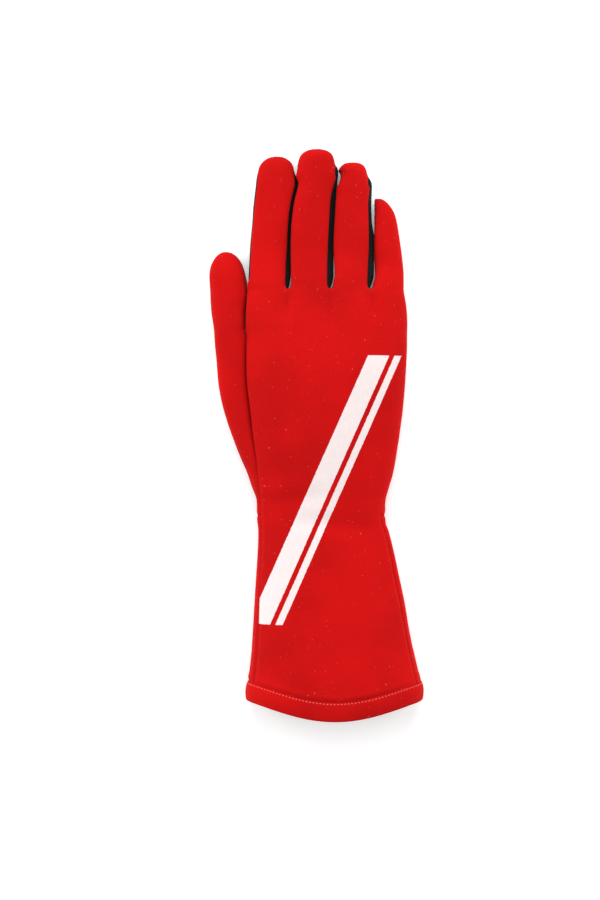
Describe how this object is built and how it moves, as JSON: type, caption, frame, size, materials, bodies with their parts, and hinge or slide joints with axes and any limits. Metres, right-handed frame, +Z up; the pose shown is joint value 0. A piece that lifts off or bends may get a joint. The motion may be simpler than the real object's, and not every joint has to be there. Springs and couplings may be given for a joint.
{
  "type": "glove",
  "caption": "Right-hand racing glove with a long flared gauntlet, a knit back sewn to a suede palm with strips between the fingers, lying flat on its palm",
  "frame": {"origin": "on the surface that the palm lies on, under the middle of the glove's outline box", "axes": "+X towards the little finger's side, +Y from the gauntlet to the fingertips, +Z up from the surface, out of the back of the hand"},
  "size_m": [0.134, 0.3498, 0.0442],
  "materials": {
    "knit": "matte knitted outer over a soft lining",
    "suede": "matte black suede"
  },
  "bodies": {
    "root": {"back_panel": "knit", "thumb_back": "knit", "gauntlet_palm": "knit", "cuff_hem": "knit", "palm_panel": "suede", "thumb_palm": "suede", "thumb_gusset": "suede", "fourchette_index_middle": "suede", "fourchette_middle_ring": "suede", "fourchette_ring_little": "suede"}
  },
  "joints": []
}
